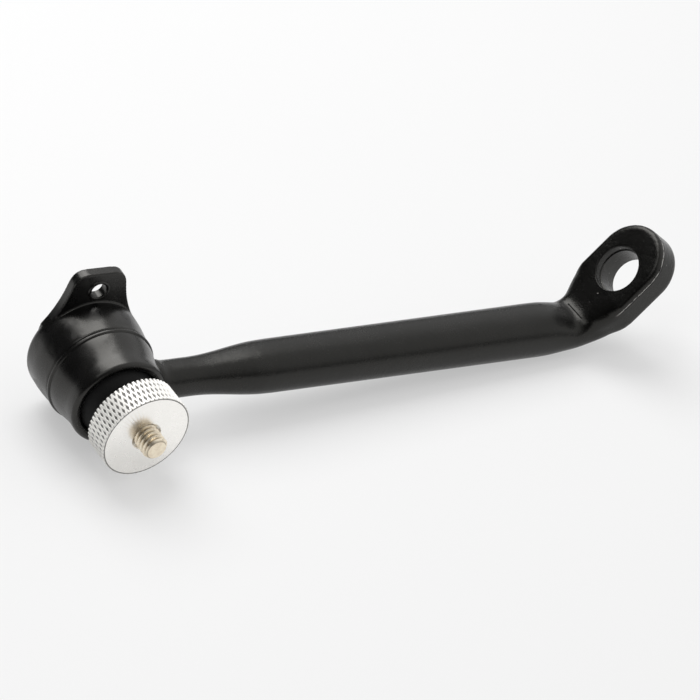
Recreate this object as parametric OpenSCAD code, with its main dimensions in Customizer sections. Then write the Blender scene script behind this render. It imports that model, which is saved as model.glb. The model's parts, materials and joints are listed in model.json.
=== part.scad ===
// Ball-joint mounting arm: a forged arm with an eye at one end and, at the
// other, a ball held in a two-part housing, with a threaded stud and a
// knurled thumb wheel. Units are millimetres.
// Origin: centre of the eye bore. +X runs from the housing to the eye,
// the stud points to -Y, and the housing's lug points to +Z.

/* [Arm] */
// Distance from the ball's centre to the eye bore's centre, along the bar
eye_x = 148.6; // [130:1:180]
// Height of the eye bore's centre above the bar's axis
eye_z = 15.2; // [13:0.1:17]
// Angle the eye is bent up from the bar
eye_angle = 54.7; // [48:0.5:60]
// Half width of the neck beside the housing
neck_half = 4.75; // [4:0.05:5.2]
// Half width of the bar, from side to side
bar_half_w = 6.8; // [6:0.1:8]
// Half height of the bar
bar_half_h = 6.2; // [5:0.1:6.6]
// How much the bar grows by its eye end, as a share
bar_growth = 0.06; // [0:0.01:0.1]

/* [Eye] */
// Half width of the eye
eye_half_w = 10; // [9:0.1:11]
// Thickness of the eye
eye_thick = 9.1; // [8:0.1:10]
// Radius of the eye bore
bore_r = 6; // [5:0.05:6.2]
// Radius of the shallow step at the bore's front
step_r = 6.25; // [6.22:0.01:6.6]
// Depth of that step
step_depth = 2.6; // [1:0.1:3]
// Distance from the bore to the centre of the eye's round end
end_shift = 3.55; // [2:0.1:5]

/* [Housing] */
// Radius of the bell's thin rim, at the seam
rim_r = 13.93; // [13.7:0.01:14.3]
// Distance from the ball's centre back to the seam
seam = 5.1; // [4.8:0.1:5.6]
// Radius of the bell at its waist
waist_r = 12.35; // [12.3:0.05:12.7]
// Largest radius of the rear cup
cup_r = 14.35; // [14.2:0.05:15]
// Length of the rear cup, from the seam to its back face
cup_len = 12.3; // [12:0.1:13]

/* [Lug] */
// Height of the lug's top above the housing axis
lug_top = 23; // [22:0.1:26]
// Height of the lug hole above the housing axis
lug_hole_z = 18.06; // [17.8:0.02:19]
// Radius of the lug hole
lug_hole_r = 1.95; // [1.2:0.05:2.1]
// Thickness of the lug
lug_thick = 2.7; // [2:0.1:3.2]

/* [Ball and stud] */
// Tip of the ball away from straight ahead, towards the bar
rest_tilt = 4; // [-10:0.5:10]
// Radius of the ball
ball_r = 7.48; // [7.4:0.01:7.5]
// Outside radius of the stud's thread, a quarter inch across
stud_r = 3.175; // [3:0.005:3.19]
// Length of stud that stands out past the wheel
stud_out = 5.05; // [3:0.05:12]
// Radius of the thumb wheel over its knurl
wheel_r = 11.6; // [9.5:0.1:12.5]
// Thickness of the thumb wheel
wheel_thick = 7.5; // [5:0.1:10]

/* [Hidden] */
black_coat = [0.05, 0.05, 0.055];
black_satin = [0.07, 0.07, 0.075];
black_rubber = [0.03, 0.03, 0.03];
nylon = [0.85, 0.84, 0.8];
steel = [0.62, 0.63, 0.65];
nickel = [0.78, 0.74, 0.66];
alloy = [0.86, 0.86, 0.87];

// distances along the housing's axis are counted from the ball's centre, out towards the stud
running = 0.05;
past = 1;
sleeve_r = 12.6;
sleeve_end = seam + 6.2;
cavity_r = 11.6;
clip_groove = 0.35;
clip_from = seam + 3.9;
clip_to = seam + 4.75;
lip_z = 6.6;
lip_r = 1.25;
lip_inner_z = 5.9;
gasket_t = 0.25;
cup_front = seam + gasket_t;
cup_back = seam + cup_len;
cup_mouth_r = 13.4;
cup_hollow_r = 10;
cup_wall = 3;
lug_front = cup_back - lug_thick;
seat_r = 7.55;
cage_r = 9.8;
cage_flange_r = 11.5;
cage_top = 4.6;
ring_r = 8.68;
ring_half = 1.25;
pad_r = 4.65;
pad_back = 9.6;
spring_z = 10.78;
spring_t = 0.45;
disc_r = 4.6;
disc_t = 0.88;
plug_r = 5;
plug_front = 12.9;
plug_sunk = 0.2;
stem_r = 4;
stem_from = 5;
pin_z = 7.9;
pin_r = 0.74;
pin_len = 7.6;
dome_r = 11.2;
dome_inner = 10.15;
dome_from = 1.4;
dome_top_inner = 9.1;
collar_back = 9.6;
collar_r = 9.3;
collar_edge = 0.4;
wheel_back = 11.2;
wheel_front = wheel_back + wheel_thick;
edge_cut = 0.35;
washer_r = 6.2;
washer_t = 0.7;
stud_tip = wheel_front + stud_out;
stud_bevel = 0.75;
stud_back = 2.5;
// under the wheel the thread is drawn at its pitch radius, past the wheel at its crest
shank_r = stud_r - 0.41;
shank_end = wheel_front + 0.2;

// points on an arc, in a revolve profile's own plane
function arc_points(cx, cy, r, from, to, steps) =
  [for (i = [0 : steps]) let (a = from + (to - from) * i / steps)
    [cx + r * cos(a), cy + r * sin(a)]];

// a cubic curve from p to s with handles q and r
function curve_points(p, q, r, s, steps) =
  [for (i = [0 : steps]) let (t = i / steps, u = 1 - t)
    u * u * u * p + 3 * u * u * t * q + 3 * u * t * t * r + t * t * t * s];

// 0 before a, 1 after b, smooth between
function ease(v, a, b) =
  let (t = min(1, max(0, (v - a) / (b - a)))) t * t * (3 - 2 * t);

// ---- placing: the ball's centre, then the housing's axis, then the stud's
module at_ball() {
  translate([-eye_x, 0, -eye_z]) children();
}

// local +Z is straight ahead out of the housing, local +Y is the lug's side
module on_axis() {
  at_ball() rotate([90, 0, 0]) children();
}

module on_stud() {
  at_ball() rotate([0, 0, rest_tilt]) rotate([90, 0, 0]) children();
}

// ---- the arm: one forging, swept from the neck through the bend
bend_r = 10;
bend_start = eye_x - eye_z / tan(eye_angle) - bend_r * tan(eye_angle / 2);
bend_len = bend_r * eye_angle * PI / 180;
bend_steps = 10;
sweep_ends = [1.3, 2.6, 3.9, 5.2, 6.2, 7.2];
bar_stations = [10.6, 11.8, 12.4, 13, 13.6, 14.4, 15.4, 17, 20, 22.5, 25, 27.5, 30, 32.5, 35,
  37.5, 40, 44, 50, 62, 75, 88, 100, 112, 120, 124, 127, 130, bend_start];
stations = concat(bar_stations,
  [for (i = [1 : bend_steps]) bend_start + bend_len * i / bend_steps],
  [for (past = sweep_ends) bend_start + bend_len + past]);

function path_angle(l) =
  l <= bend_start ? 0 : min(eye_angle, (l - bend_start) / bend_r * 180 / PI);
function past_bend(l) = max(0, l - bend_start - bend_len);
function path_x(l) =
  l <= bend_start ? l
  : bend_start + bend_r * sin(path_angle(l)) + past_bend(l) * cos(eye_angle);
function path_z(l) =
  l <= bend_start ? 0
  : bend_r * (1 - cos(path_angle(l))) + past_bend(l) * sin(eye_angle);

grow_from = 22;
grow_to = 43;
side_flare = 0.3;
root_flare = 0.9;
flare_from = 12.2;
flare_to = 15.6;
function flare(l) = pow(1 - ease(l, flare_from, flare_to), 2);
flat_from = bend_start - 8;
flat_to = bend_start + 0.6 * bend_len;
spread_from = bend_start + 4.9;
spread_to = bend_start + bend_len + 5.65;
front_lag = 1.9;
function bar_scale(l) = 1 + bar_growth * min(1, max(0, (l - 40) / 85));
// the eye's width is reached later on the front than on the back: lean is 1 in front, -1 behind
function half_w(l, lean) =
  let (bar = neck_half + (bar_half_w * bar_scale(l) - neck_half) * ease(l, grow_from, grow_to))
  bar + side_flare * flare(l) + (eye_half_w - 0.03 - bar)
    * ease(l, spread_from + front_lag * lean, spread_to + 0.6 * front_lag * lean);
function half_h(l) =
  let (bar = neck_half - 0.2
    + (bar_half_h * bar_scale(l) - neck_half + 0.2) * ease(l, grow_from, grow_to))
  bar + root_flare * flare(l) + (eye_thick / 2 - 0.03 - bar) * ease(l, flat_from, flat_to);
// the section squares up into the eye, on its back sooner than on its front
function squareness(l, front) = 2.3 + 2.7 * ease(l, bend_start, spread_to)
  + 6 * ease(l, bend_start + bend_len + (front ? 4 : 0), spread_to + (front ? 1.5 : -0.5));
function power(v, e) = sign(v) * pow(abs(v), e);

ring_points = 36;
function section_point(l, k) =
  let (
    a = 360 * (k + 0.5) / ring_points,
    e = 2 / squareness(l, a < 180),
    y = half_w(l, sin(a)) * power(cos(a), e),
    h = half_h(l) * power(sin(a), e),
    t = path_angle(l)
  )
  [path_x(l) - h * sin(t), y, path_z(l) + h * cos(t)];

last_ring = len(stations) - 1;
function ring_index(i, k) = i * ring_points + k % ring_points;
module arm_sweep() {
  polyhedron(
    points = [for (l = stations) for (k = [0 : ring_points - 1]) section_point(l, k)],
    faces = concat(
      [for (i = [0 : last_ring - 1]) for (k = [0 : ring_points - 1])
        [ring_index(i, k), ring_index(i + 1, k), ring_index(i + 1, k + 1)]],
      [for (i = [0 : last_ring - 1]) for (k = [0 : ring_points - 1])
        [ring_index(i, k), ring_index(i + 1, k + 1), ring_index(i, k + 1)]],
      [[for (k = [0 : ring_points - 1]) ring_index(0, k)]],
      [[for (k = [0 : ring_points - 1]) ring_index(last_ring, ring_points - 1 - k)]]
    ),
    convexity = 4
  );
}

edge_r = 1.1;
slab_back = 8.3;
slab_front = 6.4;
// the eye's section, from side to side and front to back, with rounded corners
function slab_section(half) =
  let (x = half - edge_r, y = eye_thick / 2 - edge_r)
  concat(arc_points(x, y, edge_r, 0, 90, 4), arc_points(-x, y, edge_r, 90, 180, 4),
    arc_points(-x, -y, edge_r, 180, 270, 4), arc_points(x, -y, edge_r, 270, 360, 4));
function round_section(half) =
  let (x = half - edge_r, y = eye_thick / 2 - edge_r)
  concat([[0, -eye_thick / 2]], arc_points(x, -y, edge_r, 270, 360, 4),
    arc_points(x, y, edge_r, 0, 90, 4), [[0, eye_thick / 2]]);

module eye_slab() {
  rotate([0, -eye_angle, 0]) {
    intersection() {
      translate([-slab_back, 0, 0])
        rotate([90, 0, 90])
          linear_extrude(height = slab_back + end_shift)
            polygon(slab_section(eye_half_w));
      rotate([90, 0, 0])
        linear_extrude(height = 3 * eye_half_w, center = true)
          polygon([[-slab_back, -eye_thick / 2 - past], [end_shift + past, -eye_thick / 2 - past],
            [end_shift + past, eye_thick / 2 + past], [-slab_front, eye_thick / 2 + past]]);
    }
    translate([end_shift, 0, 0])
      rotate_extrude($fn = 96)
        polygon(round_section(eye_half_w));
  }
}

module eye_bore() {
  rotate([0, -eye_angle, 0]) {
    translate([0, 0, -eye_thick])
      cylinder(r = bore_r, h = 2 * eye_thick, $fn = 96);
    translate([0, 0, eye_thick / 2 - step_depth])
      cylinder(r = step_r, h = step_depth + 3, $fn = 96);
    translate([0, 0, eye_thick / 2 - 0.3])
      cylinder(r1 = step_r, r2 = step_r + 0.6, h = 0.6, $fn = 96);
    translate([0, 0, -eye_thick / 2 - 0.3])
      cylinder(r1 = bore_r + 0.7, r2 = bore_r, h = 0.7, $fn = 96);
  }
}

module arm() {
  color(black_coat) difference() {
    union() {
      at_ball() arm_sweep();
      eye_slab();
    }
    eye_bore();
    on_axis() translate([0, 0, -2 * lip_z]) cylinder(r = waist_r - 0.25, h = 4 * lip_z, $fn = 96);
  }
}

// ---- the bell: the front of the housing, with the sleeve the cup goes over
function on_sphere(r, from, to, steps) =
  [for (i = [0 : steps]) let (z = from + (to - from) * i / steps) [sqrt(r * r - z * z), z]];

bell_profile = concat(
  [[sleeve_r, -sleeve_end], [sleeve_r, -seam], [rim_r - 0.15, -seam], [rim_r, -seam + 0.15],
    [rim_r, -seam + 0.65], [rim_r - 0.35, -seam + 0.95]],
  curve_points([rim_r - 0.5, -seam + 1.25], [rim_r - 0.65, -1.6], [waist_r + 0.1, 0.3],
    [waist_r, 3], 12),
  arc_points(waist_r - lip_r, lip_z - lip_r, lip_r, 0, 130, 10),
  on_sphere(cavity_r, lip_inner_z, 0, 10),
  [[cavity_r, -clip_from], [cavity_r + clip_groove, -clip_from],
    [cavity_r + clip_groove, -clip_to], [cavity_r, -clip_to], [cavity_r, -sleeve_end]]);
module bell() {
  color(black_satin) on_axis() rotate_extrude($fn = 128) polygon(bell_profile);
}

module seam_gasket() {
  color(black_rubber) on_axis() translate([0, 0, -cup_front])
    difference() {
      cylinder(r = cup_mouth_r, h = gasket_t, $fn = 128);
      translate([0, 0, -past]) cylinder(r = sleeve_r + 0.03, h = gasket_t + 2 * past, $fn = 128);
    }
}

// ---- the rear cup, with its lug; the back closes it except for the adjuster
cup_edge_r = 1.8;
cup_profile = concat(
  [[sleeve_r + running, -cup_front], [cup_mouth_r, -cup_front],
    [cup_mouth_r + 0.22, -cup_front - 0.25]],
  curve_points([cup_mouth_r + 0.32, -cup_front - 0.6], [cup_mouth_r + 0.55, -8.2],
    [cup_r, -10.2], [cup_r, -12.6], 10),
  arc_points(cup_r - cup_edge_r, -cup_back + cup_edge_r, cup_edge_r, 0, -90, 8),
  [[plug_r + running, -cup_back], [plug_r + running, -cup_back + cup_wall],
    [cup_hollow_r, -cup_back + cup_wall], [cup_hollow_r, -sleeve_end - 0.2],
    [sleeve_r + running, -sleeve_end - 0.2]]);

lug_root = 12.1;
lug_shoulder = [7.3, 19.2];
lug_side = concat(
  curve_points([lug_root, 7.6], [9.9, 10.8], [8.2, 14.6], lug_shoulder, 12),
  curve_points(lug_shoulder, [6.8, lug_top - 1.4], [5.8, lug_top - 0.1], [3.4, lug_top], 8));
lug_outline = concat([[0, 0], [lug_root, 0]], lug_side,
  [for (i = [0 : len(lug_side) - 1]) let (p = lug_side[len(lug_side) - 1 - i]) [-p[0], p[1]]],
  [[-lug_root, 0]]);

module rear_cup() {
  color(black_satin) on_axis() difference() {
    union() {
      rotate_extrude($fn = 128) polygon(cup_profile);
      translate([0, 0, -cup_back]) linear_extrude(height = lug_thick) difference() {
        polygon(lug_outline);
        circle(r = lug_root + 0.3, $fn = 128);
      }
      translate([0, lug_hole_z, -lug_front - 0.01])
        cylinder(r1 = lug_hole_r + 0.7, r2 = lug_hole_r + 0.5, h = 0.26, $fn = 64);
    }
    translate([0, lug_hole_z, -cup_back - past])
      cylinder(r = lug_hole_r, h = lug_thick + 2 * past, $fn = 64);
    translate([0, lug_hole_z, -cup_back - 0.3])
      cylinder(r1 = lug_hole_r + 0.6, r2 = lug_hole_r, h = 0.6, $fn = 64);
  }
}

// ---- inside the housing
ring_room = ring_half + 0.1;
cage_back = sleeve_end + 0.15;
cage_profile = concat(
  [[pad_r + 0.1, -cage_back], [cage_flange_r, -cage_back],
    [cage_flange_r, -clip_to - 0.05], [cage_r, -clip_to - 0.05]],
  on_sphere(cage_r, 0, cage_top, 8),
  on_sphere(seat_r, cage_top, ring_room, 5),
  [[ring_r + 0.07, ring_room], [ring_r + 0.07, -ring_room]],
  on_sphere(seat_r, -ring_room, -5.87, 6));
slit_w = 1.2;
slit_from = 1.9;
module cage() {
  color(nylon) on_axis() difference() {
    rotate_extrude($fn = 96) polygon(cage_profile);
    for (a = [45, 135])
      rotate([0, 0, a]) translate([-cavity_r, -slit_w / 2, slit_from])
        cube([2 * cavity_r, slit_w, cage_top]);
  }
}

clip_t = 0.75;
clip_gap = 3;
module cage_clip() {
  color(steel) on_axis() translate([0, 0, -clip_to + 0.05]) difference() {
    cylinder(r = cavity_r + clip_groove - running, h = clip_t, $fn = 96);
    translate([0, 0, -past]) cylinder(r = cavity_r - 1, h = clip_t + 2 * past, $fn = 96);
    translate([-clip_gap / 2, -2 * cavity_r, -past])
      cube([clip_gap, 2 * cavity_r, clip_t + 2 * past]);
  }
}

module pressure_pad() {
  color(nylon) on_axis() difference() {
    translate([0, 0, -pad_back]) cylinder(r = pad_r, h = pad_back - 5.4, $fn = 96);
    sphere(r = seat_r, $fn = 96);
  }
}

dish_in = 2.4;
dish_out = 4.4;
dish_high = 0.62;
dish_low = 0.05;
module one_disc_spring(flip) {
  mirror([0, 0, flip ? 1 : 0]) rotate_extrude($fn = 64)
    polygon([[dish_in, dish_high], [dish_out, dish_low], [dish_out, dish_low + spring_t],
      [dish_in, dish_high + spring_t]]);
}
module disc_springs() {
  color(steel) on_axis() translate([0, 0, -spring_z]) {
    one_disc_spring(false);
    one_disc_spring(true);
  }
}

module pressure_disc() {
  color(steel) on_axis() translate([0, 0, -plug_front])
    cylinder(r = disc_r, h = disc_t, $fn = 96);
}

hex_r = 2.9;
hex_deep = 3.2;
module adjuster() {
  plug_len = cup_back - plug_sunk - plug_front - 0.02;
  color(steel) on_axis() difference() {
    translate([0, 0, -cup_back + plug_sunk]) cylinder(r = plug_r, h = plug_len, $fn = 96);
    translate([0, 0, -cup_back - past]) cylinder(r = hex_r, h = hex_deep + past, $fn = 6);
    translate([0, 0, -cup_back - 0.1])
      cylinder(r1 = hex_r + 0.5, r2 = hex_r - 0.3, h = 0.8, $fn = 64);
  }
}

module slip_ring() {
  color(nylon) on_axis() difference() {
    translate([0, 0, -ring_half]) cylinder(r = ring_r, h = 2 * ring_half, $fn = 96);
    sphere(r = ball_r + running, $fn = 96);
  }
}

// ---- the pieces that tip with the stud
module across_stud(r, len) {
  translate([-len / 2, 0, pin_z]) rotate([0, 90, 0]) cylinder(r = r, h = len, $fn = 48);
}

module ball() {
  color(steel) on_stud() difference() {
    union() {
      sphere(r = ball_r, $fn = 128);
      translate([0, 0, stem_from])
        cylinder(r = stem_r, h = collar_back - stem_from - 0.05, $fn = 96);
    }
    translate([0, 0, -stud_back - 0.1]) cylinder(r = shank_r, h = stud_tip, $fn = 96);
    across_stud(pin_r + 0.02, 3 * stem_r);
  }
}

module stud() {
  color(nickel) on_stud() difference() {
    union() {
      translate([0, 0, -stud_back]) cylinder(r = shank_r, h = shank_end + stud_back, $fn = 96);
      translate([0, 0, shank_end])
        cylinder(r = stud_r, h = stud_tip - stud_bevel - shank_end, $fn = 96);
      translate([0, 0, stud_tip - stud_bevel])
        cylinder(r1 = stud_r, r2 = stud_r - stud_bevel, h = stud_bevel, $fn = 96);
    }
    across_stud(pin_r + 0.02, 3 * stem_r);
  }
}

module stud_pin() {
  color(steel) on_stud() across_stud(pin_r, pin_len);
}

dome_top = collar_back - 0.08;
dome_profile = concat(
  on_sphere(dome_r, dome_from, dome_top, 14),
  [[stem_r + running, dome_top], [stem_r + running, dome_top_inner]],
  on_sphere(dome_inner, dome_top_inner, dome_from, 12));
module dust_dome() {
  color(black_rubber) on_stud() rotate_extrude($fn = 128) polygon(dome_profile);
}

collar_front = wheel_back - 0.03;
module rubber_collar() {
  color(black_rubber) on_stud() rotate_extrude($fn = 128)
    polygon(concat([[stud_r + 0.1, collar_back], [collar_r - collar_edge, collar_back]],
      arc_points(collar_r - collar_edge, collar_back + collar_edge, collar_edge, -60, 0, 4),
      [[collar_r, collar_front - 0.22], [collar_r - 0.2, collar_front],
        [stud_r + 0.1, collar_front]]));
}

// ---- the pieces that run on the stud's thread
module jam_washer() {
  color(steel) on_stud() translate([0, 0, wheel_back + 0.02]) difference() {
    cylinder(r = washer_r, h = washer_t, $fn = 96);
    translate([0, 0, -past]) cylinder(r = stud_r + running, h = washer_t + 2 * past, $fn = 96);
  }
}

module wheel() {
  color(alloy) on_stud() difference() {
    rotate_extrude($fn = 128)
      polygon([[0, wheel_back], [wheel_r - edge_cut, wheel_back],
        [wheel_r, wheel_back + edge_cut], [wheel_r, wheel_front - edge_cut],
        [wheel_r - edge_cut, wheel_front], [0, wheel_front]]);
    translate([0, 0, wheel_back - past])
      cylinder(r = stud_r + running, h = wheel_thick + 2 * past, $fn = 96);
    translate([0, 0, wheel_back - past])
      cylinder(r = washer_r + 0.3, h = washer_t + 0.1 + past, $fn = 96);
    translate([0, 0, wheel_front - 0.3])
      cylinder(r1 = stud_r + running, r2 = stud_r + running + 0.6, h = 0.6, $fn = 96);
  }
}

arm();
bell();
seam_gasket();
rear_cup();
cage();
cage_clip();
pressure_pad();
disc_springs();
pressure_disc();
adjuster();
slip_ring();
ball();
stud();
stud_pin();
dust_dome();
rubber_collar();
jam_washer();
wheel();
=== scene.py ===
# Looks for a ball joint mounting arm: a forged black arm with an eye, a two-part
# housing with a lug, and a threaded stud with a knurled thumb wheel.
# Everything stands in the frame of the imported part. Plans are in millimetres and degrees,
# except that the floor's size and the lights' sizes and distances are in metres.
import json
import math

import bmesh
import bpy
from mathutils import Matrix, Vector

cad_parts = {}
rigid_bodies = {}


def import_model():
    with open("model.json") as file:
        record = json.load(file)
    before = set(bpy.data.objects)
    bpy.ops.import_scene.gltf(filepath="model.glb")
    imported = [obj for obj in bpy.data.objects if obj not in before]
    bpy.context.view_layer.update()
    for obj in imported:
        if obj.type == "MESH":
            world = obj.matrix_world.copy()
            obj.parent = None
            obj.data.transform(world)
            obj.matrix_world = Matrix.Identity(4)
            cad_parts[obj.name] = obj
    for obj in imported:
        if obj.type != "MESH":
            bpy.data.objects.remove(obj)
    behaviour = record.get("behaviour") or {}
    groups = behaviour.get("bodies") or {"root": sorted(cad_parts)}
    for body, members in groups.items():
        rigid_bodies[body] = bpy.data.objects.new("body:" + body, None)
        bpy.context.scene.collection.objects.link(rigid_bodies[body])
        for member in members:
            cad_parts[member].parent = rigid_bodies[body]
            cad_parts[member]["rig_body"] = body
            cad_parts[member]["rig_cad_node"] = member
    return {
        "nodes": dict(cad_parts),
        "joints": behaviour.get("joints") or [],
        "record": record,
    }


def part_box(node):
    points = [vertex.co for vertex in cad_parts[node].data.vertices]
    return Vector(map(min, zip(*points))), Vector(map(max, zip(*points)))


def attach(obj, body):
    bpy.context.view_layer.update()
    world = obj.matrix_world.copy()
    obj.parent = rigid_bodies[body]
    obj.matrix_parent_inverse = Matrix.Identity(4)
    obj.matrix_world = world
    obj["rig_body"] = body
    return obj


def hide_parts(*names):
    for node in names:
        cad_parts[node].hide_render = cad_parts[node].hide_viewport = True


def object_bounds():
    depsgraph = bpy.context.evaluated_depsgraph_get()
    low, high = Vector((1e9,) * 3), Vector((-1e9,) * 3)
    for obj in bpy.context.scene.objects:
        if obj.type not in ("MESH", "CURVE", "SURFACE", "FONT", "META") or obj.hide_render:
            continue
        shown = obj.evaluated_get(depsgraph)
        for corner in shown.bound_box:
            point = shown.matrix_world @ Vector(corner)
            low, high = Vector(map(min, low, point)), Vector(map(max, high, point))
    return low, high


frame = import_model()
cadLow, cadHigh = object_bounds()
mm = 0.001

joints = {joint["name"]: joint for joint in frame["joints"]}
mounts = {mount["name"]: mount for mount in frame["record"]["mounts"]}
ballCentre = Vector(joints["ball_tilt"]["pos_m"])
studAxis = Vector(joints["wheel_travel"]["axis"])
studTurn = math.atan2(studAxis.x, -studAxis.y)  # how far the stud tips towards the bar
eyeNormal = Vector(mounts["eye_bore"]["axis"])
eyeAngle = math.atan2(-eyeNormal.x, eyeNormal.z)
print("frame loaded, ball centre at", tuple(ballCentre))


def selectOnly(*pieces):
    if bpy.context.mode != "OBJECT":
        bpy.ops.object.mode_set(mode="OBJECT")
    bpy.ops.object.select_all(action="DESELECT")
    for piece in pieces:
        piece.select_set(True)
        bpy.context.view_layer.objects.active = piece


def editMode(piece):
    selectOnly(piece)
    bpy.ops.object.mode_set(mode="EDIT")


def pick(piece, kind, wanted):
    # selects the corners, edges or faces of a piece in edit mode that pass a test
    bpy.ops.mesh.select_mode(type=kind)
    bpy.ops.mesh.select_all(action="DESELECT")
    mesh = bmesh.from_edit_mesh(piece.data)
    parts = {"VERT": mesh.verts, "EDGE": mesh.edges, "FACE": mesh.faces}[kind]
    for part in parts:
        if wanted(part):
            part.select_set(True)
    bmesh.update_edit_mesh(piece.data)


def tidyMesh(piece, near=0.002):
    # merges corners that lie within near millimetres, and turns every face outwards
    editMode(piece)
    bpy.ops.mesh.select_all(action="SELECT")
    bpy.ops.mesh.remove_doubles(threshold=near * mm)
    bpy.ops.mesh.normals_make_consistent(inside=False)
    bpy.ops.object.mode_set(mode="OBJECT")


def dropSpareCorners(piece):
    # a cut leaves corners part way along an edge, which give slivers in triangles
    editMode(piece)
    pick(piece, "VERT", lambda corner: len(corner.link_edges) == 2)
    bpy.ops.mesh.dissolve_verts()
    bpy.ops.object.mode_set(mode="OBJECT")


def applyModifier(piece, kind, **settings):
    selectOnly(piece)
    bpy.ops.object.modifier_add(type=kind)
    modifier = piece.modifiers[-1]
    for setting, value in settings.items():
        setattr(modifier, setting, value)
    bpy.ops.object.modifier_apply(modifier=modifier.name)


def cutWith(piece, cutter, how="DIFFERENCE"):
    applyModifier(piece, "BOOLEAN", operation=how, object=cutter, solver="EXACT")
    bpy.data.objects.remove(cutter)


def joined(*pieces):
    selectOnly(*reversed(pieces))
    bpy.ops.object.join()
    return pieces[0]


def place(piece, where, turn=(0, 0, 0)):
    # puts a piece that was made round the origin in its place, and applies that place
    piece.location = where
    piece.rotation_euler = turn
    selectOnly(piece)
    bpy.ops.object.transform_apply(location=True, rotation=True, scale=True)


def placeOnHousing(piece, tipped=False):
    # local +Z runs out along the housing's or the stud's axis, local +Y up to the lug
    place(piece, ballCentre, (math.radians(90), 0, studTurn if tipped else 0))


def smoothShade(piece, degrees):
    selectOnly(piece)
    bpy.ops.object.shade_smooth_by_angle(angle=math.radians(degrees))


def turned(name, outline, sides, shape="ring"):
    # lathe work: a circle extruded from ring to ring; outline holds (radius, height).
    # "ring" closes on itself, "rod" has filled ends, "sleeve" stays open
    selectOnly()
    radius, height = outline[0]
    fill = "NGON" if shape == "rod" else "NOTHING"
    bpy.ops.mesh.primitive_circle_add(vertices=sides, radius=radius * mm, fill_type=fill,
                                      location=(0, 0, height * mm))
    piece = bpy.context.object
    piece.name = piece.data.name = name
    bpy.ops.object.mode_set(mode="EDIT")
    bpy.ops.mesh.select_mode(type="VERT")
    bpy.ops.mesh.select_all(action="SELECT")
    for nextRadius, nextHeight in outline[1:] + ([outline[0]] if shape == "ring" else []):
        step = (0, 0, (nextHeight - height) * mm)
        bpy.ops.mesh.extrude_region_move(TRANSFORM_OT_translate={"value": step})
        grow = nextRadius / radius
        bpy.ops.transform.resize(value=(grow, grow, 1), center_override=(0, 0, 0))
        radius, height = nextRadius, nextHeight
    bpy.ops.object.mode_set(mode="OBJECT")
    bpy.ops.object.transform_apply(location=True, rotation=True, scale=True)
    tidyMesh(piece)
    return piece


def arc(centre, radius, start, end, steps):
    # part of a circle as a list of (radius, height) points, with its angles in degrees
    turns = [math.radians(start + (end - start) * i / steps) for i in range(steps + 1)]
    return [(centre[0] + radius * math.cos(a), centre[1] + radius * math.sin(a)) for a in turns]


def curve(first, second, third, last, steps):
    # a smooth curve from first to last, pulled towards the two points between
    points = []
    for i in range(steps + 1):
        t = i / steps
        u = 1 - t
        weights = (u ** 3, 3 * u * u * t, 3 * u * t * t, t ** 3)
        handles = (first, second, third, last)
        points.append(tuple(sum(w * h[k] for w, h in zip(weights, handles)) for k in (0, 1)))
    return points


def onBall(radius, start, end, steps):
    # points on a ball round the origin, from one height to another
    heights = [start + (end - start) * i / steps for i in range(steps + 1)]
    return [(math.sqrt(radius * radius - z * z), z) for z in heights]


def alongAxis(node, tipped=False):
    # how far a node reaches back and forward from the ball's centre, in millimetres
    if tipped:
        corners = frame["nodes"][node].data.vertices
        reach = [(corner.co - ballCentre).dot(studAxis) / mm for corner in corners]
        return min(reach), max(reach)
    low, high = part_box(node)
    return (ballCentre.y - high.y) / mm, (ballCentre.y - low.y) / mm


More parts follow.
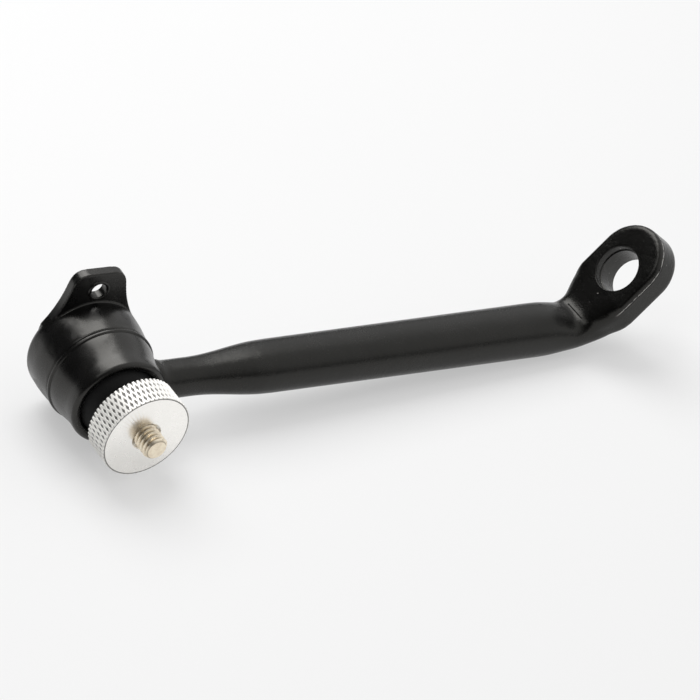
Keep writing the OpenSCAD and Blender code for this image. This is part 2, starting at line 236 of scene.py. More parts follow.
class Wire:
    # a socket that can stand in a sum, for shader maths
    def __init__(self, tree, socket=None):
        self.tree, self.socket = tree, socket

    def node(self, kind, settings=None, sockets=None, output=0):
        # adds a node; a socket takes a wire or a fixed value
        made = self.tree.nodes.new(kind)
        for name, value in (settings or {}).items():
            setattr(made, name, value)
        for name, value in (sockets or {}).items():
            if isinstance(value, Wire):
                self.tree.links.new(value.socket, made.inputs[name])
            else:
                made.inputs[name].default_value = value
        return Wire(self.tree, made.outputs[output] if made.outputs else None)

    def maths(self, operation, *values):
        return self.node("ShaderNodeMath", {"operation": operation}, dict(enumerate(values)))

    def __add__(self, other):
        return self.maths("ADD", self, other)

    def __sub__(self, other):
        return self.maths("SUBTRACT", self, other)

    def __rsub__(self, other):
        return self.maths("SUBTRACT", other, self)

    def __mul__(self, other):
        return self.maths("MULTIPLY", self, other)

    def __truediv__(self, other):
        return self.maths("DIVIDE", self, other)

    def __rtruediv__(self, other):
        return self.maths("DIVIDE", other, self)

    __radd__ = __add__
    __rmul__ = __mul__

    def __abs__(self):
        return self.maths("ABSOLUTE", self)

    def root(self):
        return self.maths("SQRT", self)

    def sine(self):
        return self.maths("SINE", self)

    def atLeast(self, low):
        return self.maths("MAXIMUM", self, low)

    def atMost(self, high):
        return self.maths("MINIMUM", self, high)

    def rise(self, low, high):
        # 0 below low, 1 above high, smooth between
        sockets = {"Value": self, "From Min": low, "From Max": high}
        return self.node("ShaderNodeMapRange", {"interpolation_type": "SMOOTHSTEP"}, sockets)

    def band(self, centre, width):
        # 1 at the centre, fading to 0 at width to either side
        return 1 - abs(self - centre).rise(0, width)

    def vector(self, operation, other, output=0):
        return self.node("ShaderNodeVectorMath", {"operation": operation}, {0: self, 1: other}, output)

    def noise(self, size, detail, roughness=0.5):
        # grain of the given size in millimetres, as a value round 0.5
        sockets = {"Vector": self, "Scale": 1 / (size * mm), "Detail": detail, "Roughness": roughness}
        return self.node("ShaderNodeTexNoise", None, sockets)

    def blend(self, first, second):
        # a colour between two others, with this wire as the share of the second;
        # the node's sockets 6 and 7 are its two colours, and its output 2 is their blend
        colours = [c if isinstance(c, Wire) else (*c, 1) for c in (first, second)]
        sockets = {0: self, 6: colours[0], 7: colours[1]}
        return self.node("ShaderNodeMix", {"data_type": "RGBA"}, sockets, 2)

    def bump(self, depth, under=None):
        # this wire as a height, with depth in millimetres for a change of 1
        sockets = {"Height": self, "Distance": depth * mm, "Strength": 1.0}
        if under:
            sockets["Normal"] = under
        return self.node("ShaderNodeBump", None, sockets)


def startMaterial(name):
    material = bpy.data.materials.new(name)
    material.use_nodes = True
    material.node_tree.nodes.clear()
    sheet = Wire(material.node_tree)
    position = sheet.node("ShaderNodeTexCoord", output=3)  # object coordinates
    return material, sheet, position


def finishMaterial(material, sheet, **sockets):
    names = {name.replace("_", " "): value for name, value in sockets.items()}
    shader = sheet.node("ShaderNodeBsdfPrincipled", None, names)
    sheet.node("ShaderNodeOutputMaterial", None, {"Surface": shader})
    return material


def dress(piece, material):
    piece.data.materials.clear()
    piece.data.materials.append(material)


coatPlan = {
    "dark": (0.0012, 0.0012, 0.0012), "pale": (0.0034, 0.0034, 0.0033),
    "shine": 0.37, "tint": (1.0, 0.985, 0.925, 1),  # strength and colour of its reflections
    # the colour of both the painted highlight on the parting line and the worn specks
    "wearAndHighlight": (0.50, 0.48, 0.455),
    "grain": 0.42, "grainDepth": 0.052,     # the powder's fine texture
    "peel": 1.9, "peelDepth": 0.050,        # the slow waves under it
    "roughness": 0.24,
    "partingHeight": 2.85, "partingWide": 0.36, "ridge": 0.28,  # the line round the eye's wall
    "shadowDown": 0.34, "shadowWide": 0.2,  # the dark line just under it
    "eyeHalf": 10.0, "eyeRound": 3.55,      # half the eye's width, and where its round end starts
}


def makePowderCoat():
    # matt black powder coat with a parting line round the eye, brightened along its length by a painted
    # highlight, and a few worn specks
    plan = coatPlan
    material, sheet, position = startMaterial("powderCoat")
    grain = position.noise(plan["grain"], 4.0, 0.65)
    peel = position.noise(plan["peel"], 2.0)
    mottle = position.noise(6.0, 3.0)
    along = Vector((math.cos(eyeAngle), 0, math.sin(eyeAngle)))
    height = position.vector("DOT_PRODUCT", tuple(eyeNormal), 1) / mm
    reach = position.vector("DOT_PRODUCT", tuple(along), 1) / mm
    side = position.node("ShaderNodeSeparateXYZ", None, {0: position}, 1) / mm
    past = (reach - plan["eyeRound"]).atLeast(0.0)
    across = (past * past + side * side).root()
    onWall = (across - plan["eyeHalf"]).rise(-0.85, -0.35) * reach.rise(-9.0, -6.5)
    wobble = (position.noise(2.4, 2.0) - 0.5) * 0.5
    line = height + wobble
    parting = line.band(plan["partingHeight"], plan["partingWide"]) * onWall
    under = plan["partingHeight"] - plan["shadowDown"]
    shadow = line.band(under, plan["shadowWide"]) * onWall
    broken = position.noise(0.9, 3.0).rise(0.36, 0.54)
    specks = position.noise(1.1, 2.0).rise(0.735, 0.76) * reach.rise(-14.0, -6.0)
    # painted highlight along the parting line, broken up, plus worn specks near the eye
    wearAndHighlight = (parting * broken * 0.85 + specks * 0.6).atMost(1.0)
    base = (mottle * 0.6 + grain * 0.4).rise(0.38, 0.62).blend(plan["dark"], plan["pale"])
    base = (shadow * 0.8).blend(base, (0.004, 0.004, 0.004))
    base = wearAndHighlight.blend(base, plan["wearAndHighlight"])
    rough = plan["roughness"] + (grain - 0.5) * 0.22 + (mottle - 0.5) * 0.12 - wearAndHighlight * 0.08
    waves = peel.bump(plan["peelDepth"])
    ridge = (parting - shadow * 0.6).bump(plan["ridge"], under=waves)
    normal = grain.bump(plan["grainDepth"], under=ridge)
    return finishMaterial(material, sheet, Base_Color=base, Roughness=rough, Normal=normal,
                          Specular_IOR_Level=plan["shine"], Specular_Tint=plan["tint"])


housingPlan = {
    "dark": (0.0014, 0.0014, 0.0015), "pale": (0.0034, 0.0034, 0.0035),
    "shine": 0.5, "tint": (1.0, 0.98, 0.93, 1),
    "roughness": 0.27, "grain": 0.30, "grainDepth": 0.026, "wave": 4.5, "waveDepth": 0.06,
    "patch": 5.5,                           # size of the patches of open grain
}


def makeHousingBlack():
    # smooth satin black, with patches where the casting's grain shows through
    plan = housingPlan
    material, sheet, position = startMaterial("housingBlack")
    grain = position.noise(plan["grain"], 4.0, 0.7)
    wave = position.noise(plan["wave"], 2.0)
    patch = position.noise(plan["patch"], 3.0).rise(0.52, 0.64)
    base = (wave * 0.5 + grain * 0.5).rise(0.36, 0.64).blend(plan["dark"], plan["pale"])
    rough = plan["roughness"] + (wave - 0.5) * 0.10 + patch * 0.10 + (grain - 0.5) * patch * 0.3
    slow = wave.bump(plan["waveDepth"])
    normal = (grain * (patch * 0.85 + 0.15)).bump(plan["grainDepth"], under=slow)
    return finishMaterial(material, sheet, Base_Color=base, Roughness=rough, Normal=normal,
                          Specular_IOR_Level=plan["shine"], Specular_Tint=plan["tint"])


rubberPlan = {
    "dark": (0.0008, 0.0008, 0.0008), "dusty": (0.004, 0.004, 0.004),
    "roughness": 0.62, "shine": 0.35, "grain": 0.25, "grainDepth": 0.012,
}


def makeRubber():
    plan = rubberPlan
    material, sheet, position = startMaterial("blackRubber")
    grain = position.noise(plan["grain"], 3.0)
    dust = position.noise(2.2, 3.0).rise(0.55, 0.8)
    base = (dust * 0.5 + grain * 0.2).blend(plan["dark"], plan["dusty"])
    rough = plan["roughness"] + grain * 0.15
    return finishMaterial(material, sheet, Base_Color=base, Roughness=rough,
                          Normal=grain.bump(plan["grainDepth"]), Specular_IOR_Level=plan["shine"])


alloyPlan = {
    # the last colour is painted shade, for down in the knurl's pits
    "soft": (0.95, 0.935, 0.90), "bright": (0.98, 0.965, 0.93), "pitShade": (0.07, 0.068, 0.065),
    "faceRoughness": 0.27, "rimRoughness": 0.52, "rimMetal": 0.32,
    "turning": 12.0, "turningDepth": 0.0004,  # the lathe's marks, in radians to a millimetre
}


def fromStudAxis(position):
    # how far a point lies out from the stud's axis, in millimetres
    offset = position.vector("SUBTRACT", tuple(ballCentre))
    return offset.vector("CROSS_PRODUCT", tuple(studAxis)).vector("LENGTH", (0, 0, 0), 1) / mm


def alongStudAxis(position):
    # how far a point lies up the stud's axis from the ball's centre, in millimetres
    offset = position.vector("SUBTRACT", tuple(ballCentre))
    return offset.vector("DOT_PRODUCT", tuple(studAxis), 1) / mm


def makeWheelAlloy(rimRadius, knurlDepth):
    # bright alloy: a satin face with very faint turning, and painted shade making the knurl's pits dark
    plan = alloyPlan
    material, sheet, position = startMaterial("wheelAlloy")
    radius = fromStudAxis(position)
    onRim = radius.rise(rimRadius - knurlDepth - 0.25, rimRadius - knurlDepth - 0.1)
    # painted shade: the colour goes dark down in the knurl's pits
    depth = 1 - radius.rise(rimRadius - knurlDepth * 1.05, rimRadius - knurlDepth * 0.25)
    pitShade = depth * onRim
    dirt = position.noise(0.5, 3.0)
    turning = (radius * plan["turning"]).sine() * 0.5 + 0.5
    streak = position.noise(1.6, 4.0)
    clean = (streak * 0.7 + dirt * 0.3).rise(0.3, 0.7).blend(plan["soft"], plan["bright"])
    base = (pitShade * (0.72 + dirt * 0.3)).blend(clean, plan["pitShade"])
    rougher = plan["rimRoughness"] - plan["faceRoughness"]
    rough = plan["faceRoughness"] + (streak - 0.5) * 0.03 + onRim * rougher
    metal = 1 - onRim * (1 - plan["rimMetal"])
    return finishMaterial(material, sheet, Base_Color=base, Metallic=metal, Roughness=rough,
                          Normal=turning.bump(plan["turningDepth"]))


nickelPlan = {
    # the groove colour is painted shade for the thread's roots
    "deep": (0.84, 0.73, 0.57), "bright": (0.96, 0.87, 0.70), "groove": (0.22, 0.17, 0.11),
    "metal": 0.82, "roughness": 0.28, "smear": 0.8, "smearDepth": 0.006,
}


def makeStudNickel(crest, root):
    # warm nickel, with painted shade darkening the bottom of the thread
    plan = nickelPlan
    material, sheet, position = startMaterial("studNickel")
    radius = fromStudAxis(position)
    # painted shade: darker towards the thread's roots, though not at the very tip
    groove = 1 - radius.rise(root * 1.02, root * 0.35 + crest * 0.65)
    smear = position.noise(plan["smear"], 4.0)
    clean = smear.rise(0.3, 0.7).blend(plan["deep"], plan["bright"])
    end = alongAxis("stud", True)[1]
    tip = alongStudAxis(position).rise(end - 0.02, end)
    base = (groove * (1 - tip) * 0.6).blend(clean, plan["groove"])
    rough = plan["roughness"] + (smear - 0.5) * 0.14 + groove * 0.15
    return finishMaterial(material, sheet, Base_Color=base, Metallic=plan["metal"],
                          Roughness=rough, Normal=smear.bump(plan["smearDepth"]))


steelPlans = {
    "bareSteel": {"dark": (0.42, 0.42, 0.43), "pale": (0.60, 0.61, 0.62), "roughness": 0.34},
    "darkSteel": {"dark": (0.05, 0.05, 0.052), "pale": (0.12, 0.12, 0.122), "roughness": 0.38},
}


def makeSteel(name):
    plan = steelPlans[name]
    material, sheet, position = startMaterial(name)
    brushed = position.noise(0.35, 4.0)
    stain = position.noise(3.0, 3.0)
    base = (brushed * 0.5 + stain * 0.5).rise(0.35, 0.65).blend(plan["dark"], plan["pale"])
    rough = plan["roughness"] + (brushed - 0.5) * 0.2
    return finishMaterial(material, sheet, Base_Color=base, Metallic=1.0, Roughness=rough,
                          Normal=brushed.bump(0.004))


nylonPlan = {"deep": (0.70, 0.69, 0.64), "pale": (0.80, 0.79, 0.75), "roughness": 0.42}


def makeNylon():
    plan = nylonPlan
    material, sheet, position = startMaterial("whiteNylon")
    cloud = position.noise(2.0, 3.0)
    base = cloud.rise(0.35, 0.65).blend(plan["deep"], plan["pale"])
    rough = plan["roughness"] + cloud * 0.1
    return finishMaterial(material, sheet, Base_Color=base, Roughness=rough,
                          Normal=cloud.bump(0.02))


armPlan = {
    "voxel": 0.40, "smoothing": 14, "eyeReach": 9.0, "boreReach": 6.9,
    "boreRadius": 6.0, "stepRadius": 6.27, "stepDepth": 2.6, "mouthRound": 0.3,
    "crease": (-13.0, -0.65, -10.1), "creaseLong": 6.5, "creaseWide": 0.38, "creaseDeep": 0.55,
    "creaseTurn": 3,
}


def eyeThickness():
    # the eye lies round the frame's origin
    corners = [v.co for v in frame["nodes"]["arm"].data.vertices]
    along = [co.dot(eyeNormal) for co in corners if co.length < armPlan["eyeReach"] * mm]
    return (max(along) - min(along)) / mm


def makeArm(material):
    # the frame's own forging, remeshed so that its edges flow, then bored and marked
    plan = armPlan
    half = eyeThickness() / 2
    source = frame["nodes"]["arm"]
    selectOnly(source)
    bpy.ops.object.duplicate()
    piece = bpy.context.object
    piece.parent = None
    # the copy is a piece of its own, no longer a node of the frame
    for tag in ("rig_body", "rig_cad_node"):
        del piece[tag]
    piece.name = piece.data.name = "armForging"
    tidyMesh(piece, 0.01)

    def inBore(face):
        spots = [v.co - eyeNormal * v.co.dot(eyeNormal) for v in face.verts]
        return all(spot.length < plan["boreReach"] * mm for spot in spots)

    # the bore is closed, so that the remesh leaves flat faces, and cut again below
    editMode(piece)
    pick(piece, "FACE", inBore)
    bpy.ops.mesh.delete(type="FACE")
    bpy.ops.mesh.select_mode(type="EDGE")
    bpy.ops.mesh.select_non_manifold()
    bpy.ops.mesh.fill_holes(sides=0)
    bpy.ops.object.mode_set(mode="OBJECT")
    applyModifier(piece, "REMESH", mode="VOXEL", voxel_size=plan["voxel"] * mm)
    applyModifier(piece, "SMOOTH", factor=0.5, iterations=plan["smoothing"])

    mouth, bore, step = plan["mouthRound"], plan["boreRadius"], plan["stepRadius"]
    shelf = half - plan["stepDepth"]
    past = half + 2  # the cutter's ends stand clear of the eye
    lower = arc((bore + mouth, -half - 0.02 + mouth), mouth, 266, 180, 6)
    upper = arc((step + mouth, half + 0.02 - mouth), mouth, 180, 94, 6)
    outline = [(bore + mouth, -past), *lower, (bore, shelf), (step, shelf + 0.12), *upper,
               (step + mouth, past)]
    cutter = turned("boreCutter", outline, 96, "rod")
    place(cutter, (0, 0, 0), (0, -eyeAngle, 0))
    cutWith(piece, cutter)

    # the short press mark across the inside of the bend
    selectOnly()
    bpy.ops.mesh.primitive_cube_add(size=mm)
    mark = bpy.context.object
    mark.scale = (plan["creaseWide"], plan["creaseLong"], 2 * plan["creaseDeep"])
    place(mark, (0, 0, 0))
    spot, normal = piece.closest_point_on_mesh(Vector(plan["crease"]) * mm)[1:3]
    tilt = math.atan2(normal.x, normal.z)
    place(mark, spot, (0, tilt, math.radians(plan["creaseTurn"])))
    cutWith(piece, mark)
    smoothShade(piece, 32)
    dress(piece, material)
    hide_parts("arm")
    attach(piece, "arm_and_housing")
    print("arm made,", len(piece.data.polygons), "faces")


bellPlan = {
    "rim": 13.93, "rimRound": 0.18, "waist": 12.35, "lipRound": 1.25, "sleeve": 12.6,
    "cavity": 11.6, "cavityMouth": 5.6, "sides": 160,
}


def makeBell(material):
    # the housing's front half: a sleeve, a thin rim at the seam, a waist and a round lip
    plan = bellPlan
    back, lip = alongAxis("bell")
    seam = alongAxis("seam_gasket")[1]
    rim, fine, waist, edge = plan["rim"], plan["rimRound"], plan["waist"], plan["lipRound"]
    outline = [(plan["sleeve"], back), (plan["sleeve"], seam), (rim - fine, seam)]
    outline += arc((rim - fine, seam + fine), fine, -70, 0, 4)
    outline += [(rim, seam + 0.6), (rim - 0.12, seam + 0.8)]
    outline += curve((rim - 0.42, seam + 1.0), (rim - 0.6, -2.2), (waist + 0.1, 0.3), (waist, 3), 22)
    outline += arc((waist - edge, lip - edge), edge, 6, 150, 14)
    outline += onBall(plan["cavity"], plan["cavityMouth"], 0, 12)
    outline += [(plan["cavity"], back)]
    piece = turned("bellShell", outline, plan["sides"])
    placeOnHousing(piece)
    smoothShade(piece, 50)
    dress(piece, material)
    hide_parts("bell")
    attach(piece, "arm_and_housing")
    print("bell made")


cupPlan = {
    "mouth": 13.42, "full": 14.35, "backRound": 1.8, "wall": 3.0, "hollow": 10.0, "sleeve": 12.65,
    "sides": 160, "plugHole": 5.06, "voxel": 0.23, "smoothing": 5,
    "lugRoot": (12.3, 0.5), "lugThick": 2.7, "lugHole": 1.95, "lugHoleUp": 18.06, "lugEdge": 0.75,
    "ringOut": 2.85, "ringHigh": 0.42,
}


def makeLugPlate(back, top):
    # a strip drawn up the lug's two flanks and round its top, then thickened
    plan = cupPlan
    root, level = plan["lugRoot"]
    thin = 0.1  # how tall the first strip is, as a share of its width
    selectOnly()
    bpy.ops.mesh.primitive_plane_add(size=2 * root * mm, location=(0, 0, back * mm))
    piece = bpy.context.object
    bpy.ops.object.mode_set(mode="EDIT")
    bpy.ops.mesh.select_all(action="SELECT")
    bpy.ops.transform.resize(value=(1, thin, 1), center_override=(0, 0, back * mm))
    bpy.ops.transform.translate(value=(0, (level - root * thin) * mm, 0))
    pick(piece, "EDGE", lambda edge: all(v.co.y > level * 0.9 * mm for v in edge.verts))
    flank = curve((root, level), (12.4, 3.0), (12.4, 5.6), (12.1, 7.6), 5)
    flank += curve((12.1, 7.6), (9.9, 10.8), (8.2, 14.6), (7.3, 19.2), 12)[1:]
    corner = curve((7.3, 19.2), (6.8, top - 1.4), (5.8, top - 0.1), (3.4, top), 8)
    width, height = root, level
    for nextWidth, nextHeight in flank[1:] + corner[1:]:
        step = (0, (nextHeight - height) * mm, 0)
        bpy.ops.mesh.extrude_region_move(TRANSFORM_OT_translate={"value": step})
        bpy.ops.transform.resize(value=(nextWidth / width, 1, 1), center_override=(0, 0, 0))
        width, height = nextWidth, nextHeight
    bpy.ops.mesh.select_all(action="SELECT")
    thick = (0, 0, plan["lugThick"] * mm)
    bpy.ops.mesh.extrude_region_move(TRANSFORM_OT_translate={"value": thick})
    bpy.ops.object.mode_set(mode="OBJECT")
    bpy.ops.object.transform_apply(location=True, rotation=True, scale=True)
    tidyMesh(piece)
    applyModifier(piece, "BEVEL", width=plan["lugEdge"] * mm, segments=3, angle_limit=math.radians(50))
    return piece


def makeCup(material):
    # the housing's rear half, with the lug grown out of its back
    plan = cupPlan
    back, mouth = alongAxis("rear_cup")
    top = (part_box("rear_cup")[1].z - ballCentre.z) / mm
    full, edge = plan["full"], plan["backRound"]
    sleeveEnd = alongAxis("bell")[0] - 0.2
    outline = [(plan["sleeve"], mouth), (plan["mouth"], mouth), (plan["mouth"] + 0.22, mouth - 0.25)]
    outline += curve((plan["mouth"] + 0.32, mouth - 0.6), (plan["mouth"] + 0.55, -8.2),
                     (full, -10.2), (full, -12.6), 14)
    outline += arc((full - edge, back + edge), edge, 0, -90, 8)
    outline += [(plan["plugHole"] - 0.4, back), (plan["plugHole"] - 0.4, back + plan["wall"]),
                (plan["hollow"], back + plan["wall"]), (plan["hollow"], sleeveEnd),
                (plan["sleeve"], sleeveEnd)]
    piece = joined(turned("cupShell", outline, plan["sides"]), makeLugPlate(back, top))
    applyModifier(piece, "REMESH", mode="VOXEL", voxel_size=plan["voxel"] * mm)
    applyModifier(piece, "SMOOTH", factor=0.5, iterations=plan["smoothing"])
    plug = plan["plugHole"]
    bore = [(plug + 0.3, back - 1), (plug + 0.3, back - 0.01), (plug, back + 0.3),
            (plug, back + plan["wall"] + 1)]
    cutWith(piece, turned("plugCutter", bore, 96, "rod"))

    hole, up = plan["lugHole"], plan["lugHoleUp"]
    high, out = plan["ringHigh"], plan["ringOut"]
    lugFront = back + plan["lugThick"]
    crown = (out - hole) / 2
    ringOutline = [(hole - 0.3, lugFront - 0.8), (out, lugFront - 0.8), (out, lugFront + high - crown)]
    ringOutline += arc((out - crown, lugFront + high - crown), crown, 0, 180, 8)[1:-1]
    ringOutline += [(hole - 0.3, lugFront + high - crown)]
    ring = turned("lugRing", ringOutline, 64)
    place(ring, (0, up * mm, 0))
    cutWith(piece, ring, "UNION")
    through = [(hole + 0.7, back - 1), (hole + 0.6, back + 0.02), (hole, back + 0.55),
               (hole, lugFront + 1)]
    cutter = turned("lugCutter", through, 64, "rod")
    place(cutter, (0, up * mm, 0))
    cutWith(piece, cutter)
    tidyMesh(piece)
    piece.name = piece.data.name = "cupShell"
    placeOnHousing(piece)
    smoothShade(piece, 42)
    dress(piece, material)
    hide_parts("rear_cup")
    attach(piece, "arm_and_housing")
    print("cup made,", len(piece.data.polygons), "faces")


domePlan = {"outer": 11.2, "inner": 10.15, "stem": 4.05, "under": 9.1}


def makeDome(material):
    # the rubber skin that turns with the ball and fills the bell's mouth
    plan = domePlan
    stem, under = plan["stem"], plan["under"]
    back, top = alongAxis("dust_dome", True)
    outline = onBall(plan["outer"], back, top, 22) + [(stem, top), (stem, under)]
    outline += onBall(plan["inner"], under, back, 18)
    piece = turned("domeSkin", outline, 128)
    placeOnHousing(piece, True)
    smoothShade(piece, 50)
    dress(piece, material)
    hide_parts("dust_dome")
    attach(piece, "ball_stud")


collarPlan = {"radius": 9.3, "hole": 3.28, "edge": 0.35, "groove": 0.14}


def makeCollar(material):
    # the ring behind the wheel, with a fine groove round its middle
    plan = collarPlan
    radius, hole, edge, groove = plan["radius"], plan["hole"], plan["edge"], plan["groove"]
    back, front = alongAxis("rubber_collar", True)
    waist = (back + front) / 2
    outline = [(hole, back), (radius - edge - 0.1, back)]
    outline += arc((radius - edge, back + edge), edge, -80, 0, 5)
    outline += [(radius - 0.06, waist - 0.1), (radius - groove, waist), (radius - 0.06, waist + 0.1)]
    outline += arc((radius - edge, front - edge), edge, 0, 80, 5) + [(hole, front)]
    piece = turned("collarRing", outline, 128)
    placeOnHousing(piece, True)
    smoothShade(piece, 50)
    dress(piece, material)
    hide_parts("rubber_collar")
    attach(piece, "ball_stud")
    print("collar and dome made")


wheelPlan = {
    "around": 60, "rows": 4,         # diamonds round the rim, and pairs of rows down it
    "row": 1.95, "firstRow": 1.4,    # from one row to the next, and from the face to the first
    "depth": 0.30, "land": 0.18, "flank": 0.19,  # each diamond's pit
    "edge": 0.08, "bore": 3.225, "hubCone": 0.65, "recess": 6.5, "recessDeep": 0.8, "sides": 180,
}


def wheelRadius():
    low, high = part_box("wheel")
    return (high.z - low.z) / 2 / mm


def makeWheel(material):
    # a knurled tube, cut down to a turned blank
    plan = wheelPlan
    back, front = alongAxis("wheel", True)
    radius, bore, rows = wheelRadius(), plan["bore"], plan["rows"]
    pitch = 2 * plan["row"]
    start = front - plan["firstRow"] - (rows - 1.5) * pitch
    rings = [(radius, start + pitch * i) for i in range(rows + 1)]
    knurl = turned("thumbWheel", rings, plan["around"], "sleeve")
    levels = [height * mm for _, height in rings]
    editMode(knurl)
    bpy.ops.mesh.select_all(action="SELECT")
    bpy.ops.mesh.poke(offset=0)

    def onGrid(vertex):
        return min(abs(vertex.co.z - level) for level in levels) < 0.01 * mm

    def oldEdge(edge):
        return not edge.is_boundary and all(onGrid(v) for v in edge.verts)

    pick(knurl, "EDGE", oldEdge)
    bpy.ops.mesh.dissolve_edges(use_verts=False)  # leaves long diamonds
    bpy.ops.mesh.select_mode(type="FACE")
    bpy.ops.mesh.select_all(action="SELECT")
    bpy.ops.mesh.inset(thickness=plan["land"] * mm, use_individual=True, use_boundary=True)
    bpy.ops.mesh.inset(thickness=plan["flank"] * mm, depth=-plan["depth"] * mm,
                       use_individual=True, use_boundary=True)
    bpy.ops.mesh.select_all(action="DESELECT")
    bpy.ops.mesh.select_mode(type="EDGE")
    bpy.ops.mesh.select_non_manifold()
    bpy.ops.mesh.fill_holes(sides=0)
    bpy.ops.object.mode_set(mode="OBJECT")
    tidyMesh(knurl, 0.0005)

    edge, cone, recess, deep = plan["edge"], plan["hubCone"], plan["recess"], plan["recessDeep"]
    past = radius + 0.05
    outline = [(past, back + edge), (past, front - edge), (radius - edge * 0.75, front - 0.04),
               (radius - edge - 0.08, front), (bore + cone, front), (bore, front - cone),
               (bore, back + deep), (recess, back + deep), (recess, back), (radius - edge, back)]
    blank = turned("wheelBlank", outline, plan["sides"])
    cutWith(knurl, blank, "INTERSECT")
    tidyMesh(knurl)
    placeOnHousing(knurl, True)
    smoothShade(knurl, 24)
    dress(knurl, material)
    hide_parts("wheel")
    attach(knurl, "thumb_wheel")
    print("wheel made,", len(knurl.data.polygons), "faces")


studPlan = {
    "pitch": 1.27, "crest": 3.175, "root": 2.42, "steps": 48, "bevel": 0.75,
    "spareTurns": 1.5, "spareEnd": 0.2,  # thread made past each end, and what the first cut leaves
    # one turn from root to root, as shares of the thread's depth out and its pitch along
    "profile": ((0, 0.10), (1, 0.36), (0, 0.11), (-1, 0.36), (0, 0.07)),
}


def makeStud(material):
    # a thread wound from one corner, then cut to length and bevelled
    plan = studPlan
    back, tip = alongAxis("stud", True)
    pitch, crest, root = plan["pitch"], plan["crest"], plan["root"]
    turns = math.ceil((tip - back) / pitch + 2 * plan["spareTurns"])
    selectOnly()
    bpy.ops.mesh.primitive_plane_add(size=pitch * mm, location=(0, 0, 0))
    piece = bpy.context.object
    piece.name = piece.data.name = "threadedStud"
    bpy.ops.object.mode_set(mode="EDIT")
    bpy.ops.mesh.select_mode(type="VERT")
    bpy.ops.mesh.select_all(action="SELECT")
    bpy.ops.mesh.merge(type="CENTER")
    bpy.ops.mesh.select_all(action="SELECT")
    start = (root * mm, 0, (back - plan["spareTurns"] * pitch) * mm)
    bpy.ops.transform.translate(value=start)
    for out, up in plan["profile"]:
        step = (out * (crest - root) * mm, 0, up * pitch * mm)
        bpy.ops.mesh.extrude_region_move(TRANSFORM_OT_translate={"value": step})
    bpy.ops.object.mode_set(mode="OBJECT")
    bpy.ops.object.transform_apply(location=True, rotation=True, scale=True)
    applyModifier(piece, "SCREW", axis="Z", angle=math.radians(360), screw_offset=pitch * mm,
                  iterations=turns, steps=plan["steps"], render_steps=plan["steps"],
                  use_merge_vertices=True, merge_threshold=0.0005 * mm)
    tidyMesh(piece, 0.001)
    editMode(piece)
    for level, inner in ((back - plan["spareEnd"], True), (tip + plan["spareEnd"], False)):
        bpy.ops.mesh.select_all(action="SELECT")
        bpy.ops.mesh.bisect(plane_co=(0, 0, level * mm), plane_no=(0, 0, 1), use_fill=True,
                            clear_inner=inner, clear_outer=not inner, threshold=0.00001 * mm)
    bpy.ops.mesh.select_all(action="SELECT")
    bpy.ops.mesh.normals_make_consistent(inside=False)
    bpy.ops.object.mode_set(mode="OBJECT")
    bevel = plan["bevel"]
    past = crest + 0.002  # a hair outside the crest, so that the cut leaves it whole
    outline = [(crest - 0.5, back), (past, back + 0.5), (past, tip - bevel),
               (crest - bevel + 0.06, tip - 0.05), (crest - bevel - 0.02, tip)]
    blank = turned("studBlank", outline, 96, "rod")
    cutWith(piece, blank, "INTERSECT")
    tidyMesh(piece)
    dropSpareCorners(piece)
    placeOnHousing(piece, True)
    smoothShade(piece, 28)
    dress(piece, material)
    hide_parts("stud")
    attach(piece, "ball_stud")
    print("stud made,", len(piece.data.polygons), "faces")


adjusterPlan = {"radius": 5.0, "hexRadius": 2.9, "hexDeep": 3.2, "drillPoint": 0.8}


def makeAdjuster(material):
    # the plug in the cup's back, with its hex socket
    plan = adjusterPlan
    back, front = alongAxis("adjuster")
    radius, hexRadius = plan["radius"], plan["hexRadius"]
    deep = back + plan["hexDeep"]
    outline = [(radius - 0.35, back), (radius - 0.1, back + 0.1), (radius, back + 0.35),
               (radius, front - 0.3), (radius - 0.3, front)]
    piece = turned("adjusterPlug", outline, 96, "rod")
    socket = [(hexRadius, back - 1), (hexRadius, deep), (0.4, deep + plan["drillPoint"])]
    cutWith(piece, turned("hexCutter", socket, 6, "rod"))
    mouth = [(hexRadius + 0.6, back - 0.3), (hexRadius - 0.35, back + 0.55)]
    cutWith(piece, turned("mouthCutter", mouth, 64, "rod"))
    placeOnHousing(piece)
    smoothShade(piece, 30)
    dress(piece, material)
    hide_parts("adjuster")
    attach(piece, "adjuster_plug")
    print("adjuster made")


powderCoat = makePowderCoat()
housingBlack = makeHousingBlack()
blackRubber = makeRubber()
whiteNylon = makeNylon()
bareSteel = makeSteel("bareSteel")
darkSteel = makeSteel("darkSteel")
wheelAlloy = makeWheelAlloy(wheelRadius(), wheelPlan["depth"])
studNickel = makeStudNickel(studPlan["crest"], studPlan["root"])
print("finishes made")

makeArm(powderCoat)
makeBell(housingBlack)
makeCup(housingBlack)
makeDome(blackRubber)
makeCollar(blackRubber)
makeWheel(wheelAlloy)
makeStud(studNickel)
makeAdjuster(darkSteel)

innerFinishes = {
    blackRubber: ("seam_gasket",),
    whiteNylon: ("cage", "pressure_pad", "slip_ring"),
    bareSteel: ("cage_clip", "disc_springs", "pressure_disc", "ball", "stud_pin", "jam_washer"),
}
for finish, nodes in innerFinishes.items():
    for node in nodes:
        dress(frame["nodes"][node], finish)
print("inner pieces dressed")

stagePlan = {"tipX": 3.73, "tipY": 3.67, "size": 6.0, "grey": 0.385, "cloud": 180.0, "glow": 0.46}


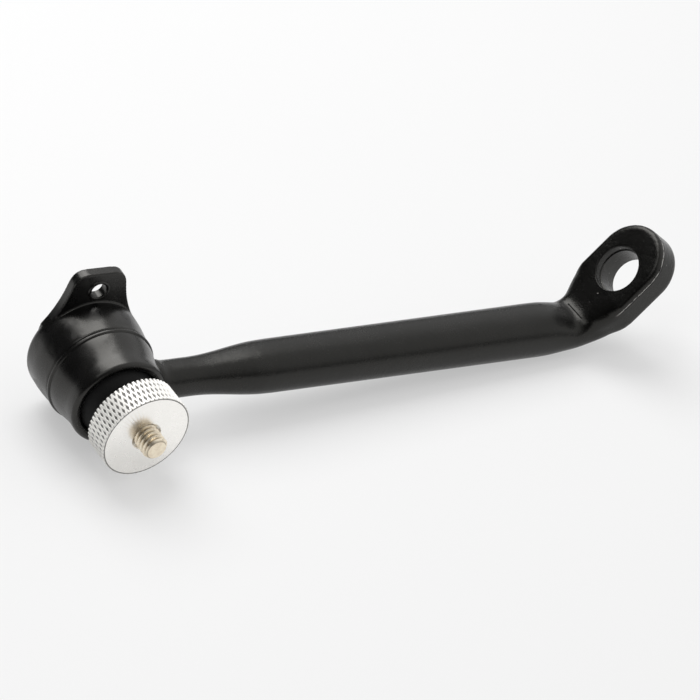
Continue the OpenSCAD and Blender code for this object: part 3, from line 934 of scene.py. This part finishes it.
def makeFloor():
    # the arm lies on its housing, its wheel and the end of its bar, so the floor is tipped
    # a little in the part's frame
    tipX, tipY = math.radians(stagePlan["tipX"]), math.radians(stagePlan["tipY"])
    normal = Vector((-math.sin(tipX), math.sin(tipY), 1)).normalized()
    lowest = min(v.co.dot(normal) for node in frame["nodes"].values() for v in node.data.vertices)
    selectOnly()
    bpy.ops.mesh.primitive_grid_add(x_subdivisions=8, y_subdivisions=8, size=stagePlan["size"])
    floor = bpy.context.object
    floor.name = "floor"
    centre = Vector(((cadLow.x + cadHigh.x) / 2, 0, 0))
    centre -= normal * (centre.dot(normal) - lowest)
    place(floor, centre, normal.to_track_quat("Z", "Y").to_euler())
    material, sheet, position = startMaterial("paleFloor")
    grey = stagePlan["grey"]
    base = position.noise(stagePlan["cloud"], 2.0).blend((grey,) * 3, (grey + 0.01,) * 3)
    dress(floor, finishMaterial(material, sheet, Base_Color=base, Roughness=0.75,
                                Specular_IOR_Level=0.2, Emission_Strength=stagePlan["glow"],
                                Emission_Color=(1, 1, 1, 1)))


cameraPlan = {
    "azimuth": -39.66, "elevation": 35.74, "roll": 18.20, "distance": 751.75,
    "aim": (-81.11, -0.17, -13.49), "lens": 154.29, "sensor": 36,
}


def makeCamera():
    plan = cameraPlan
    turn, rise, roll = (math.radians(plan[name]) for name in ("azimuth", "elevation", "roll"))
    ahead = Vector((-math.sin(turn) * math.cos(rise), math.cos(turn) * math.cos(rise), -math.sin(rise)))
    level = ahead.cross(Vector((0, 0, 1))).normalized()
    upright = level.cross(ahead)
    right = level * math.cos(roll) + upright * math.sin(roll)
    up = upright * math.cos(roll) - level * math.sin(roll)
    data = bpy.data.cameras.new("camera")
    data.lens, data.sensor_width = plan["lens"], plan["sensor"]
    data.clip_start = 0.01
    camera = bpy.data.objects.new("camera", data)
    bpy.context.scene.collection.objects.link(camera)
    turnMatrix = Matrix((right, up, -ahead)).transposed().to_4x4()
    spot = Vector(plan["aim"]) * mm - ahead * plan["distance"] * mm
    camera.matrix_world = Matrix.Translation(spot) @ turnMatrix
    bpy.context.scene.camera = camera


lightPlans = {
    "overhead": {"towards": (-0.10, 0.62, 0.78), "away": 0.95, "size": (0.72, 0.85), "power": 8.2},
    "overLeft": {"towards": (-0.50, -0.05, 0.86), "away": 1.0, "size": (0.5, 0.5), "power": 1.4},
}


def makeLights():
    middle = (cadLow + cadHigh) / 2
    for name, plan in lightPlans.items():
        towards = Vector(plan["towards"]).normalized()
        data = bpy.data.lights.new(name, "AREA")
        data.shape, data.energy = "RECTANGLE", plan["power"]
        data.size, data.size_y = plan["size"]
        lamp = bpy.data.objects.new(name, data)
        lamp.location = middle + towards * plan["away"]
        lamp.rotation_euler = towards.to_track_quat("Z", "Y").to_euler()
        bpy.context.scene.collection.objects.link(lamp)


skyPlan = {
    "dark": 0.07, "bright": 0.92, "towards": (0.80, 0.0, 0.60), "from": 0.08, "to": 0.82,
    "horizon": 0.12, "horizonTop": 0.35,  # the share of light left at the horizon, and where it ends
}


def makeSky():
    # brighter to one side and overhead, darker towards the horizon
    plan = skyPlan
    world = bpy.data.worlds.new("studio")
    world.use_nodes = True
    world.node_tree.nodes.clear()
    sheet = Wire(world.node_tree)
    direction = sheet.node("ShaderNodeTexCoord")
    glow = direction.vector("DOT_PRODUCT", plan["towards"], 1).rise(plan["from"], plan["to"])
    height = direction.vector("DOT_PRODUCT", (0, 0, 1), 1)
    upper = plan["horizon"] + height.rise(0.0, plan["horizonTop"]) * (1 - plan["horizon"])
    strength = (glow * (plan["bright"] - plan["dark"]) + plan["dark"]) * upper
    sky = sheet.node("ShaderNodeBackground", None, {"Color": (1, 1, 1, 1), "Strength": strength})
    sheet.node("ShaderNodeOutputWorld", None, {"Surface": sky})
    bpy.context.scene.world = world
    bpy.context.scene.view_settings.view_transform = "Standard"


makeFloor()
makeCamera()
makeLights()
makeSky()
print("stage, camera and lights set")
